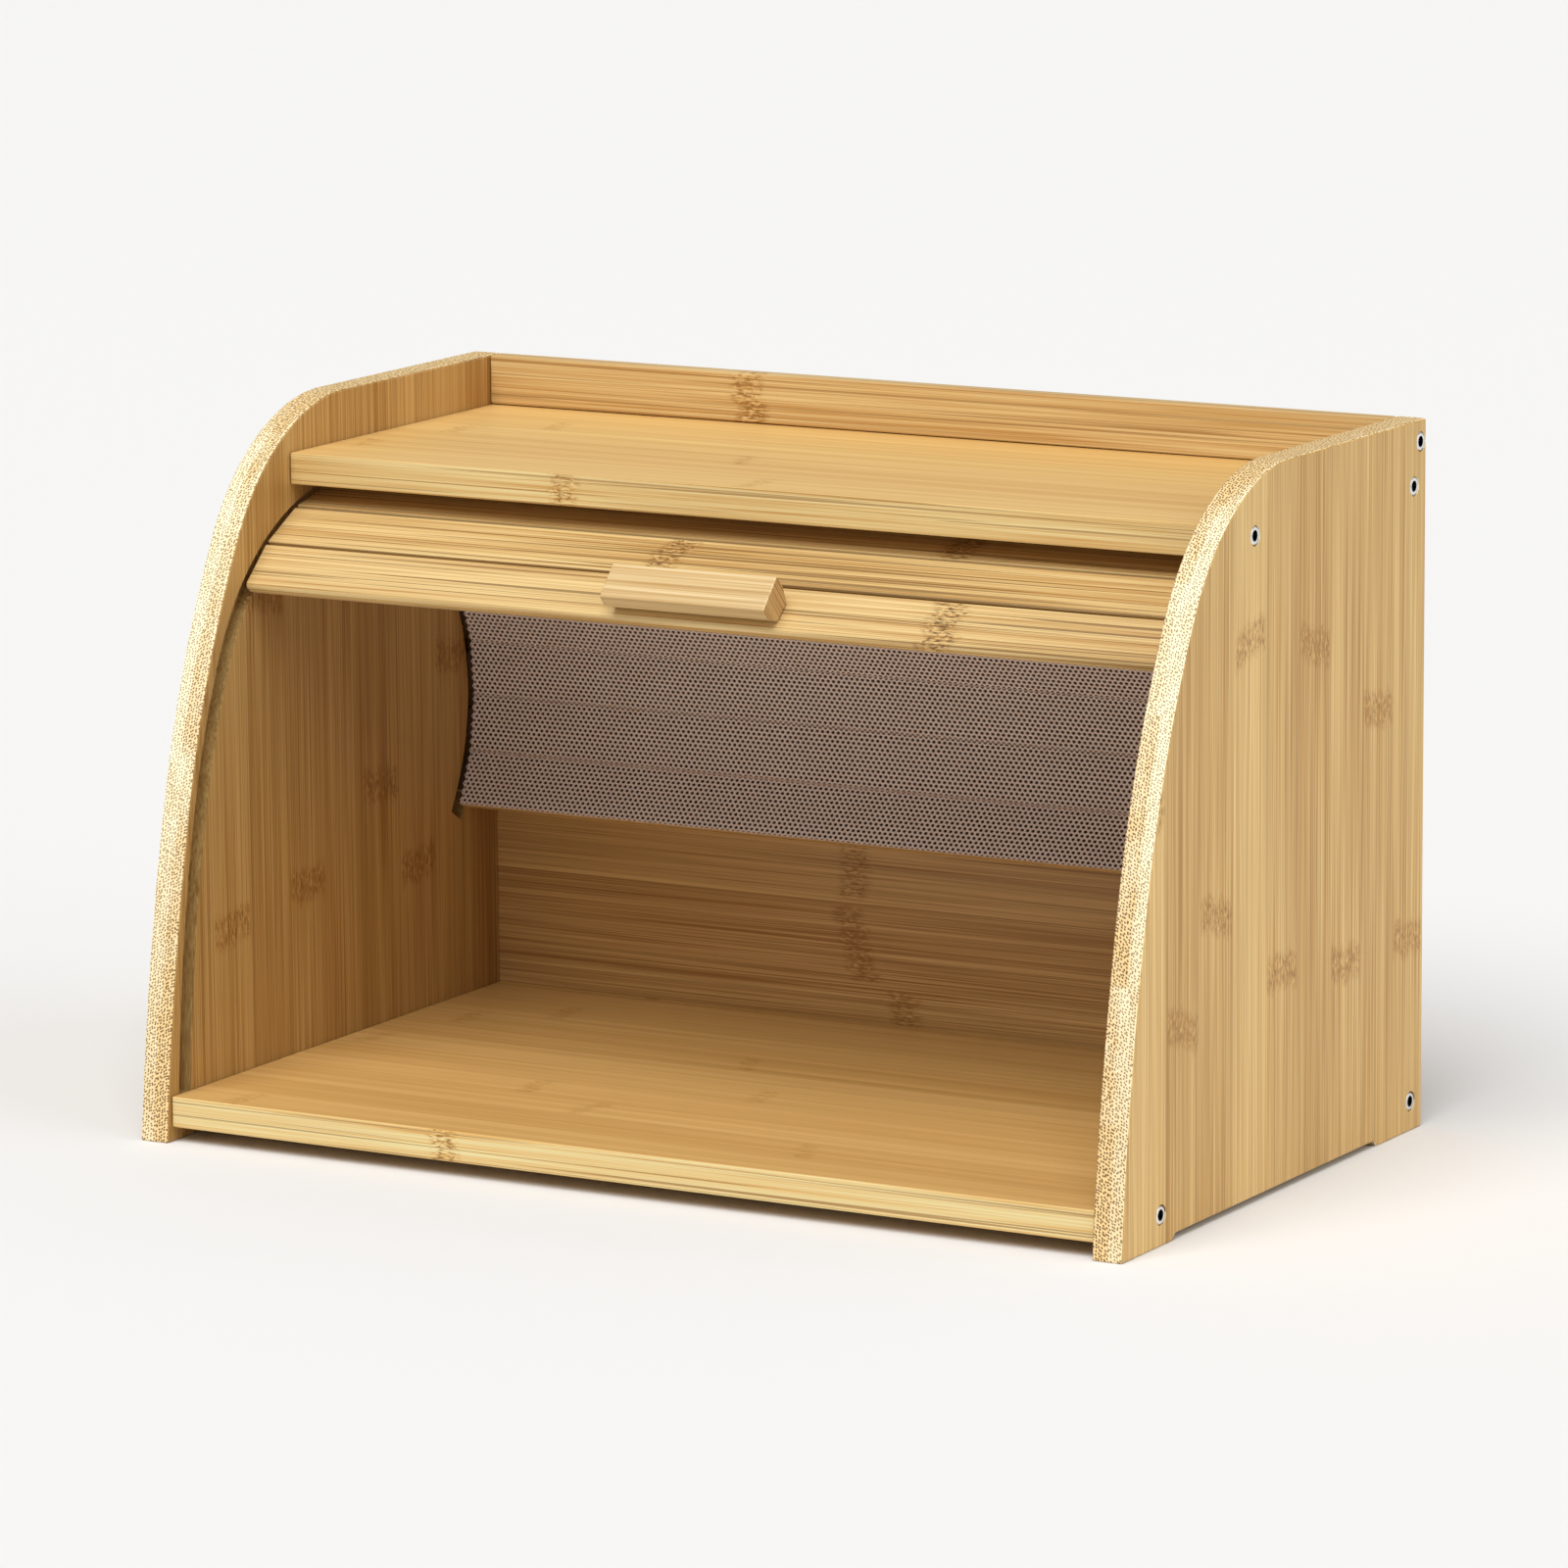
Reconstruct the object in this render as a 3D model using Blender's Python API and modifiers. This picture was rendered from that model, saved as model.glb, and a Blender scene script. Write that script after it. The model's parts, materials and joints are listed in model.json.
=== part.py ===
"""Bamboo bread box with a roll top. Metres, +Z up, front of the box towards -Y."""
import math

import bmesh
import bpy
from mathutils import Matrix, Vector

# Outer size of the box
WIDTH = 0.400
DEPTH = 0.238
HEIGHT = 0.260
STOCK = 0.0115            # thickness of the side panels
FIT = 0.00035             # clearance between pieces that touch
Y0 = -DEPTH / 2           # front of the side panels
INNER = WIDTH / 2 - STOCK

# Side panel outline: heading at the front foot, then (radius, length) of each arc
EDGE_START = (0.0, 0.0)
EDGE_HEADING = 85.05
EDGE_ARCS = [(0.884, 0.1245), (0.3666, 0.0987), (0.0871, 0.0935)]
FOOT_FRONT = 0.038
FOOT_REAR = 0.201
FOOT_RISE = 0.0022

# Roll top groove: centre line measured from the front bottom corner of a side panel
GROOVE_START = (0.0122, 0.0170)
GROOVE_HEADING = 87.5
GROOVE_ARCS = [(0.560, 0.106), (0.270, 0.053), (0.0895, 0.300)]
GROOVE_WIDTH = 0.0080
GROOVE_DEPTH = 0.0050

# Slats of the roll top
SLATS = 12
PITCH = 0.022
SLAT_OUTER = 0.0212
SLAT_INNER = 0.0202
SLAT_FRONT = 0.0029       # outer face from the groove centre line
SLAT_BACK = 0.0021        # inner face from the groove centre line
LEAD_TRIM = 0.0018        # the leading slat is narrower, with a rounded lower edge
TRAVEL = 0.1855
CLOSED_AT = -0.0012
FIRST_TENON = 8
TENON_THICK = 0.0038
TENON_WIDE = 0.0100
TENON_LONG = 0.0042
NET_THICK = 0.0005
NET_WIDE = 0.0196

# Boards
BASE_Z = (0.0056, 0.0170)
BASE_FRONT = 0.0029
TOP_Z = (0.2295, 0.2412)
TOP_FRONT = 0.0890
RAIL_FRONT = 0.2296
BACK_Y = (0.2312, 0.2352)
BACK_REBATE = 0.0030

# Handle: section as (along the slat, out from its face), undercut below for the fingers
HANDLE_LONG = 0.067
HANDLE_SECTION = [(0.0040, 0.0), (0.0061, 0.0068), (0.0056, 0.0125), (-0.0088, 0.0112),
                  (-0.0090, 0.0062), (-0.0047, 0.0)]
HANDLE_SCREWS = 0.020
HANDLE_SCREW_AT = 0.0007

# Side screws: (name, Y, Z) measured from the front bottom corner of a side panel
SCREWS = [
    ("base_front", 0.0295, 0.0110),
    ("base_rear", 0.2284, 0.0110),
    ("top_front", 0.1004, 0.2365),
    ("top_rear", 0.2284, 0.2365),
    ("rail", 0.2336, 0.2520),
]
HEAD_R = 0.0034
HEAD_TALL = 0.0030
HEAD_SUNK = 0.0002
SHANK_R = 0.0018
SHANK_LONG = 0.030
SOCKET_AF = 0.0036
SOCKET_DEEP = 0.0018

for old in list(bpy.data.objects):
    bpy.data.objects.remove(old, do_unlink=True)

PARTS = bpy.data.collections.new("bread_box")
CUTTERS = bpy.data.collections.new("bread_box_cutters")
bpy.context.scene.collection.children.link(PARTS)
bpy.context.scene.collection.children.link(CUTTERS)


def material(name, colour, roughness, metallic=0.0):
    mat = bpy.data.materials.new(name)
    mat.use_nodes = True
    shader = mat.node_tree.nodes["Principled BSDF"]
    shader.inputs["Base Color"].default_value = (*colour, 1.0)
    shader.inputs["Roughness"].default_value = roughness
    shader.inputs["Metallic"].default_value = metallic
    mat.diffuse_color = (*colour, 1.0)
    return mat


def path_point(start, heading, arcs, s):
    """Point and heading at distance s along a chain of tangent arcs that all bend the same way."""
    y, z = start
    a = math.radians(heading)
    if s < 0:
        return y + s * math.cos(a), z + s * math.sin(a), a
    for radius, length in arcs:
        step = min(s, length)
        cy, cz = y + radius * math.sin(a), z - radius * math.cos(a)
        a -= step / radius
        y, z = cy - radius * math.sin(a), cz + radius * math.cos(a)
        s -= step
        if s <= 1e-12:
            return y, z, a
    return y + s * math.cos(a), z + s * math.sin(a), a


def groove(s):
    return path_point(GROOVE_START, GROOVE_HEADING, GROOVE_ARCS, s)


def slat_pose(s):
    """Middle and angle of a slat whose chord starts at s on the groove's centre line."""
    gap = (PITCH - SLAT_OUTER) / 2
    ya, za, _ = groove(s + gap)
    yb, zb, _ = groove(s + PITCH - gap)
    return (ya + yb) / 2, (za + zb) / 2, math.atan2(zb - za, yb - ya)


def slat_hinge(i):
    """Rest pose of slat i and the fixed point about which it turns from open to closed."""
    y0, z0, a0 = slat_pose(CLOSED_AT + TRAVEL + i * PITCH)
    y1, z1, a1 = slat_pose(CLOSED_AT + i * PITCH)
    turn = (a1 - a0) % (2 * math.pi)
    half = 0.5 / math.tan(turn / 2)
    cy = (y0 + y1) / 2 - (z1 - z0) * half
    cz = (z0 + z1) / 2 + (y1 - y0) * half
    return (y0, z0, a0), (cy, cz), turn


def finish(mesh, name, mat, origin, collection):
    obj = bpy.data.objects.new(name, mesh)
    if mat:
        mesh.materials.append(mat)
    obj.location = origin
    mesh.transform(Matrix.Translation(-Vector(origin)))
    collection.objects.link(obj)
    return obj


def prism(name, outline, x0, x1, mat=None, origin=(0, 0, 0), collection=None):
    """Solid with a Y-Z outline, from x0 to x1."""
    bm = bmesh.new()
    low = [bm.verts.new((x0, y, z)) for y, z in outline]
    face = bm.faces.new(low)
    made = bmesh.ops.extrude_face_region(bm, geom=[face])
    verts = [v for v in made["geom"] if isinstance(v, bmesh.types.BMVert)]
    bmesh.ops.translate(bm, verts=verts, vec=(x1 - x0, 0, 0))
    bmesh.ops.recalc_face_normals(bm, faces=bm.faces)
    mesh = bpy.data.meshes.new(name)
    bm.to_mesh(mesh)
    bm.free()
    return finish(mesh, name, mat, origin, collection or PARTS)


def box(name, x, y, z, mat=None, collection=None):
    outline = [(y[0], z[0]), (y[1], z[0]), (y[1], z[1]), (y[0], z[1])]
    return prism(name, outline, x[0], x[1], mat, collection=collection)


def lathe(name, profile, mat, where, axis, steps=32, collection=None):
    """Round solid: profile of (radius, height) pairs turned about its axis, then placed."""
    bm = bmesh.new()
    rings = []
    for r, h in profile:
        if r < 1e-9:
            rings.append([bm.verts.new((0, 0, h))])
            continue
        turns = [2 * math.pi * k / steps for k in range(steps)]
        rings.append([bm.verts.new((r * math.cos(t), r * math.sin(t), h)) for t in turns])
    for a, b in zip(rings, rings[1:]):
        for k in range(steps):
            n = (k + 1) % steps
            if len(a) == 1:
                bm.faces.new((a[0], b[k], b[n]))
            elif len(b) == 1:
                bm.faces.new((a[k], a[n], b[0]))
            else:
                bm.faces.new((a[k], a[n], b[n], b[k]))
    bmesh.ops.recalc_face_normals(bm, faces=bm.faces)
    turn = Vector(axis).to_track_quat("Z", "Y").to_matrix().to_4x4()
    bm.transform(Matrix.Translation(where) @ turn)
    mesh = bpy.data.meshes.new(name)
    bm.to_mesh(mesh)
    bm.free()
    return finish(mesh, name, mat, (0, 0, 0), collection or PARTS)


def bevel(obj, width, segments=2, angle=40):
    mod = obj.modifiers.new("edges", "BEVEL")
    mod.width = width
    mod.segments = segments
    mod.limit_method = "ANGLE"
    mod.angle_limit = math.radians(angle)
    mod.harden_normals = False
    return mod


def cut(obj, *cutters):
    for cutter in cutters:
        cutter.hide_render = True
        cutter.display_type = "WIRE"
        mod = obj.modifiers.new("cut_" + cutter.name, "BOOLEAN")
        mod.operation = "DIFFERENCE"
        mod.solver = "EXACT"
        mod.object = cutter


def to_row(points):
    return [(Y0 + y, z) for y, z in points]


PANEL = material("bamboo_panel", (0.66, 0.42, 0.19), 0.5)
BOARD = material("bamboo_board", (0.72, 0.47, 0.21), 0.5)
SLAT = material("bamboo_slat", (0.74, 0.48, 0.22), 0.5)
PULL = material("bamboo_handle", (0.80, 0.57, 0.30), 0.5)
PLY = material("bamboo_back", (0.45, 0.27, 0.12), 0.6)
NET = material("backing_net", (0.62, 0.58, 0.52), 0.9)
STEEL = material("screw_steel", (0.62, 0.62, 0.60), 0.3, 1.0)


def side_outline():
    total = sum(length for _, length in EDGE_ARCS)
    steps = 48
    pts = [(FOOT_FRONT, 0.0)]
    pts += [(0.0, 0.0)]
    for k in range(1, steps + 1):
        y, z, _ = path_point(EDGE_START, EDGE_HEADING, EDGE_ARCS, total * k / steps)
        pts.append((y, min(z, HEIGHT)))
    pts += [(DEPTH, HEIGHT), (DEPTH, 0.0), (FOOT_REAR, 0.0)]
    pts += [(FOOT_REAR - 0.003, FOOT_RISE), (FOOT_FRONT + 0.003, FOOT_RISE)]
    return to_row(pts)


def groove_band(name, x0, x1):
    """Cutter that follows the groove, from below the base board's top to the tail end."""
    end = CLOSED_AT + TRAVEL + SLATS * PITCH + 0.004
    near, far = [], []
    steps = 110
    for k in range(steps + 1):
        s = -0.0005 + (end + 0.0005) * k / steps
        y, z, a = groove(s)
        ny, nz = -math.sin(a) * GROOVE_WIDTH / 2, math.cos(a) * GROOVE_WIDTH / 2
        near.append((y + ny, z + nz))
        far.append((y - ny, z - nz))
    return prism(name, to_row(near + far[::-1]), x0, x1, collection=CUTTERS)


def side_panel(name, side):
    """side is -1 for left, +1 for right."""
    x_out, x_in = side * WIDTH / 2, side * INNER
    panel = prism(name, side_outline(), min(x_out, x_in), max(x_out, x_in), PANEL)
    bevel(panel, 0.0008, 2, 60)
    floor = side * (INNER + GROOVE_DEPTH)
    mouth = side * (INNER - 0.002)
    cut(panel, groove_band(name + "_groove", min(floor, mouth), max(floor, mouth)))
    slot = box(
        name + "_back_slot",
        (min(floor, mouth), max(floor, mouth)),
        (Y0 + BACK_Y[0] - FIT, Y0 + BACK_Y[1] + FIT),
        (BASE_Z[1] - BACK_REBATE, TOP_Z[0] + BACK_REBATE),
        collection=CUTTERS,
    )
    cut(panel, slot)
    return panel


def hex_cutter(name, where, axis):
    r = SOCKET_AF / math.sqrt(3)
    profile = [(0, -SOCKET_DEEP), (r, -SOCKET_DEEP), (r, 0.002), (0, 0.002)]
    return lathe(name, profile, None, where, axis, steps=6, collection=CUTTERS)


def side_screw(name, side, y, z, panel, board):
    axis = (side, 0, 0)
    face = side * (WIDTH / 2 - HEAD_SUNK)
    c = 0.0004
    profile = [
        (0, -HEAD_TALL - SHANK_LONG), (SHANK_R * 0.6, -HEAD_TALL - SHANK_LONG),
        (SHANK_R, -HEAD_TALL - SHANK_LONG + 0.003), (SHANK_R, -HEAD_TALL),
        (HEAD_R, -HEAD_TALL), (HEAD_R, -c), (HEAD_R - c, 0), (0, 0),
    ]
    where = Vector((face, Y0 + y, z))
    screw = lathe(name, profile, STEEL, where, axis)
    cut(screw, hex_cutter(name + "_socket", where, axis))
    seat = [
        (0, -HEAD_TALL - FIT), (HEAD_R + FIT, -HEAD_TALL - FIT),
        (HEAD_R + FIT, 0.002), (0, 0.002),
    ]
    hole = [
        (0, -HEAD_TALL - SHANK_LONG - 0.001), (SHANK_R + FIT, -HEAD_TALL - SHANK_LONG - 0.001),
        (SHANK_R + FIT, 0.001), (0, 0.001),
    ]
    cut(panel, lathe(name + "_seat", seat, None, where, axis, collection=CUTTERS))
    drill = lathe(name + "_hole", hole, None, where, axis, steps=24, collection=CUTTERS)
    cut(panel, drill)
    cut(board, drill)


def boards():
    x = (-INNER + FIT, INNER - FIT)
    rear = Y0 + DEPTH - 0.0004
    base = box("base_board", x, (Y0 + BASE_FRONT, rear), BASE_Z, BOARD)
    top = box("top_board", x, (Y0 + TOP_FRONT, rear), TOP_Z, BOARD)
    rail = box("back_rail", x, (Y0 + RAIL_FRONT, rear), (TOP_Z[1] + FIT, HEIGHT), BOARD)
    for board in (base, top, rail):
        bevel(board, 0.0006, 2)
    slot_x = (-INNER - 0.01, INNER + 0.01)
    slot_y = (Y0 + BACK_Y[0] - FIT, Y0 + BACK_Y[1] + FIT)
    cut(base, box("base_slot", slot_x, slot_y, (BASE_Z[1] - BACK_REBATE, BASE_Z[1] + 0.002),
                  collection=CUTTERS))
    cut(top, box("top_slot", slot_x, slot_y, (TOP_Z[0] - 0.002, TOP_Z[0] + BACK_REBATE),
                 collection=CUTTERS))
    reach = INNER + GROOVE_DEPTH - 0.0006
    box("back_panel", (-reach, reach), (Y0 + BACK_Y[0], Y0 + BACK_Y[1]),
        (BASE_Z[1] - BACK_REBATE + 0.0006, TOP_Z[0] + BACK_REBATE - 0.0006), PLY)
    return base, top, rail


def on_slat(pose, u, v):
    """Row position of a point u along a slat's chord and v out from its middle."""
    y, z, a = pose
    return (Y0 + y + u * math.cos(a) - v * math.sin(a), z + u * math.sin(a) + v * math.cos(a))


def slat(i):
    pose, centre, _ = slat_hinge(i)
    origin = (0.0, Y0 + centre[0], centre[1])
    name = "slat_%02d" % (i + 1)
    corners = [
        (-SLAT_OUTER / 2, SLAT_FRONT), (SLAT_OUTER / 2, SLAT_FRONT),
        (SLAT_INNER / 2, -SLAT_BACK), (-SLAT_INNER / 2, -SLAT_BACK),
    ]
    low = -SLAT_OUTER / 2 + LEAD_TRIM
    if i == 0:
        corners = [(low + 0.0014, SLAT_FRONT)] + corners[1:3] + [
            (low + 0.0005, -SLAT_BACK), (low, SLAT_FRONT - 0.0018), (low + 0.0004, SLAT_FRONT - 0.0006)]
    outline = [on_slat(pose, u, v) for u, v in corners]
    long = INNER - 0.0004
    body = prism(name, outline, -long, long, SLAT, origin)
    bevel(body, 0.0005, 2)
    if i + 1 >= FIRST_TENON:
        half = [(-TENON_WIDE / 2, TENON_THICK / 2), (TENON_WIDE / 2, TENON_THICK / 2),
                (TENON_WIDE / 2, -TENON_THICK / 2), (-TENON_WIDE / 2, -TENON_THICK / 2)]
        tongue = prism(name + "_tongue", [on_slat(pose, u, v) for u, v in half],
                       -long - TENON_LONG, long + TENON_LONG, collection=CUTTERS)
        tongue.hide_render = True
        tongue.display_type = "WIRE"
        mod = body.modifiers.new("tongue", "BOOLEAN")
        mod.operation = "UNION"
        mod.solver = "EXACT"
        mod.object = tongue
    v1 = -SLAT_BACK - FIT
    low = -NET_WIDE / 2 + (LEAD_TRIM if i == 0 else 0)
    net = [(low, v1), (NET_WIDE / 2, v1), (NET_WIDE / 2, v1 - NET_THICK), (low, v1 - NET_THICK)]
    prism("net_%02d" % (i + 1), [on_slat(pose, u, v) for u, v in net],
          -long + 0.0006, long - 0.0006, NET, origin)
    return body, pose, origin


def handle(lead, pose, origin):
    v0 = SLAT_FRONT + FIT
    outline = [on_slat(pose, u, v0 + v) for u, v in HANDLE_SECTION]
    bar = prism("handle", outline, -HANDLE_LONG / 2, HANDLE_LONG / 2, PULL, origin)
    bevel(bar, 0.0006, 2)
    y, z, a = pose
    axis = (0, math.sin(a), -math.cos(a))
    for k, side in enumerate((-1, 1)):
        py, pz = on_slat(pose, HANDLE_SCREW_AT, -SLAT_BACK + 0.0002)
        where = Vector((side * HANDLE_SCREWS, py, pz))
        long = SLAT_FRONT + SLAT_BACK + 0.007
        name = "handle_screw_%d" % (k + 1)
        profile = [(0, -long), (0.0008, -long), (0.0014, -long + 0.002), (0.0014, -0.0016),
                   (0.0026, -0.0004), (0.0026, 0), (0, 0)]
        head = lathe(name, profile, STEEL, where, axis, steps=24)
        head.data.transform(Matrix.Translation(-Vector(origin)))
        head.location = origin
        bore = [(0, -long - 0.001), (0.0014 + FIT, -long - 0.001), (0.0014 + FIT, -0.0018),
                (0.0026 + FIT, -0.0006), (0.0026 + FIT, 0.003), (0, 0.003)]
        drill = lathe(name + "_hole", bore, None, where, axis, steps=24, collection=CUTTERS)
        cut(lead, drill)
        cut(bar, drill)


left = side_panel("side_panel_left", -1)
right = side_panel("side_panel_right", 1)
base, top, rail = boards()
fixed = {"base_front": base, "base_rear": base, "top_front": top, "top_rear": top, "rail": rail}
for label, y, z in SCREWS:
    side_screw("screw_left_" + label, -1, y, z, left, fixed[label])
    side_screw("screw_right_" + label, 1, y, z, right, fixed[label])
lead, lead_pose, lead_origin = slat(0)
handle(lead, lead_pose, lead_origin)
for i in range(1, SLATS):
    slat(i)
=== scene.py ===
"""Looks of the bamboo bread box: materials, the net behind the curtain, stage, light and camera."""
import json
import math

import bmesh
import bpy
import numpy as np
from mathutils import Matrix, Vector

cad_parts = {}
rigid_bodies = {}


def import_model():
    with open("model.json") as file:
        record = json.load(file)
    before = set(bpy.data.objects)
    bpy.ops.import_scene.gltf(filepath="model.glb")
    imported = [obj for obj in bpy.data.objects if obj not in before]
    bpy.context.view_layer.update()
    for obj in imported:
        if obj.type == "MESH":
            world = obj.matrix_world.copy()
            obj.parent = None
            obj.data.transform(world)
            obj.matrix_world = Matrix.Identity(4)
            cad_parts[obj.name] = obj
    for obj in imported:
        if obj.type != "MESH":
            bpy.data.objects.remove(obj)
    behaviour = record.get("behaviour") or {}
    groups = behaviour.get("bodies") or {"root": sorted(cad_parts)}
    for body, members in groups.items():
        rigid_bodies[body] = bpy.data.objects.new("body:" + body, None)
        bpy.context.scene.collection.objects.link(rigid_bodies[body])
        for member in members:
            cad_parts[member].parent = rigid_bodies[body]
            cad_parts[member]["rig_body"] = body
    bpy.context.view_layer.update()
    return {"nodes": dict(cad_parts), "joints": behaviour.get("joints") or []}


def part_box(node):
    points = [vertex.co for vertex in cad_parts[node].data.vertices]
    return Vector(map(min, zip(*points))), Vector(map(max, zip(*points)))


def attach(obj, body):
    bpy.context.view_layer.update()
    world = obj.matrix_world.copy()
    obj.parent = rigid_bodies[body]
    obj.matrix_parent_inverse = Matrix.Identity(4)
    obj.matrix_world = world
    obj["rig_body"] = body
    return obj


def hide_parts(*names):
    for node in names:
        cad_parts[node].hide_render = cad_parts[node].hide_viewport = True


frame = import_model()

NODES = frame["nodes"]
SLATS = sorted(n for n in NODES if n.startswith("slat_"))
NETS = sorted(n for n in NODES if n.startswith("net_"))
SCREWS = [n for n in NODES if n.startswith("screw_") or n.startswith("handle_screw")]


# ---------------------------------------------------------------- shader tools

class Graph:
    """Short calls for adding and joining shader nodes in one tree."""

    def __init__(self, tree):
        self.tree = tree

    def add(self, kind, **values):
        node = self.tree.nodes.new(kind)
        for key, value in values.items():
            setattr(node, key, value)
        return node

    def plug(self, socket, value):
        if isinstance(value, bpy.types.NodeSocket):
            self.tree.links.new(value, socket)
        elif value is not None:
            socket.default_value = value

    def math(self, operation, a, b=None, c=None, clamp=False):
        node = self.add("ShaderNodeMath", operation=operation, use_clamp=clamp)
        for socket, value in zip(node.inputs, (a, b, c)):
            self.plug(socket, value)
        return node.outputs[0]

    def plus(self, a, b):
        return self.math("ADD", a, b)

    def minus(self, a, b):
        return self.math("SUBTRACT", a, b)

    def over(self, a, b):
        return self.math("DIVIDE", a, b)

    def times(self, first, *others):
        """The product of all the values."""
        for other in others:
            first = self.math("MULTIPLY", first, other)
        return first

    def flip(self, value):
        """One minus the value."""
        return self.math("SUBTRACT", 1.0, value)

    def vector(self, x, y, z):
        node = self.add("ShaderNodeCombineXYZ")
        for socket, value in zip(node.inputs, (x, y, z)):
            self.plug(socket, value)
        return node.outputs[0]

    def split(self, vector):
        node = self.add("ShaderNodeSeparateXYZ")
        self.plug(node.inputs[0], vector)
        return node.outputs

    def noise(self, vector, scale=1.0, detail=2.0, roughness=0.5, distortion=0.0):
        node = self.add("ShaderNodeTexNoise")
        self.plug(node.inputs["Vector"], vector)
        self.plug(node.inputs["Scale"], scale)
        node.inputs["Detail"].default_value = detail
        node.inputs["Roughness"].default_value = roughness
        node.inputs["Distortion"].default_value = distortion
        return node.outputs["Fac"]

    def chance(self, value):
        node = self.add("ShaderNodeTexWhiteNoise", noise_dimensions="1D")
        self.plug(node.inputs["W"], value)
        return node.outputs["Value"]

    def ramp(self, value, low, high, smooth=True):
        """0 below low, 1 above high."""
        node = self.add("ShaderNodeMapRange")
        node.interpolation_type = "SMOOTHSTEP" if smooth else "LINEAR"
        for name, entry in (("Value", value), ("From Min", low), ("From Max", high)):
            self.plug(node.inputs[name], entry)
        return node.outputs["Result"]

    def mix(self, factor, a, b, blend="MIX"):
        node = self.add("ShaderNodeMix", data_type="RGBA", blend_type=blend)
        node.clamp_factor = True
        self.plug(node.inputs["Factor"], factor)
        self.plug(node.inputs["A"], a)
        self.plug(node.inputs["B"], b)
        return node.outputs["Result"]

    def lerp(self, factor, a, b):
        node = self.add("ShaderNodeMix", data_type="FLOAT")
        self.plug(node.inputs["Factor"], factor)
        self.plug(node.inputs["A"], a)
        self.plug(node.inputs["B"], b)
        return node.outputs["Result"]

    def tint(self, colour, amount):
        """Scales a colour by a number."""
        node = self.add("ShaderNodeVectorMath", operation="SCALE")
        self.plug(node.inputs[0], colour)
        self.plug(node.inputs["Scale"], amount)
        return node.outputs[0]


def rgb(hexed):
    """Linear colour from a paint code such as D7B16E."""
    parts = [int(hexed[k:k + 2], 16) / 255 for k in (0, 2, 4)]
    linear = [p / 12.92 if p <= 0.04045 else ((p + 0.055) / 1.055) ** 2.4 for p in parts]
    return (*linear, 1.0)


def group(name, inputs, outputs):
    """A new shader node group: its graph, the values given to it and the values it gives."""
    tree = bpy.data.node_groups.new(name, "ShaderNodeTree")
    kinds = {"f": "NodeSocketFloat", "c": "NodeSocketColor"}
    for label, kind, value in inputs:
        socket = tree.interface.new_socket(label, in_out="INPUT", socket_type=kinds[kind])
        socket.default_value = value
    for label, kind in outputs:
        tree.interface.new_socket(label, in_out="OUTPUT", socket_type=kinds[kind])
    g = Graph(tree)
    return g, g.add("NodeGroupInput").outputs, g.add("NodeGroupOutput").inputs


# lengths in metres: (across the fibres, along them) for each layer of the figure
FINE_FIBRE = (0.00050, 0.120)
BROAD_FIBRE = (0.0040, 0.30)
LINE_LENGTH = 0.26
DASH = (0.00085, 0.0030)       # the marks in a culm node
DASH_DEPTH = 0.0020
NODE_WAVE = 0.0045             # how wide a culm node's bends are
NODE_SWING = 0.010             # and how far they swing
NODE_TILT = 0.016
PLY_SHIFT = 0.0030             # how far the line between two plies wanders
PLY_BLUR = 0.0006
CLOUD = (0.006, 0.016)


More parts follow.
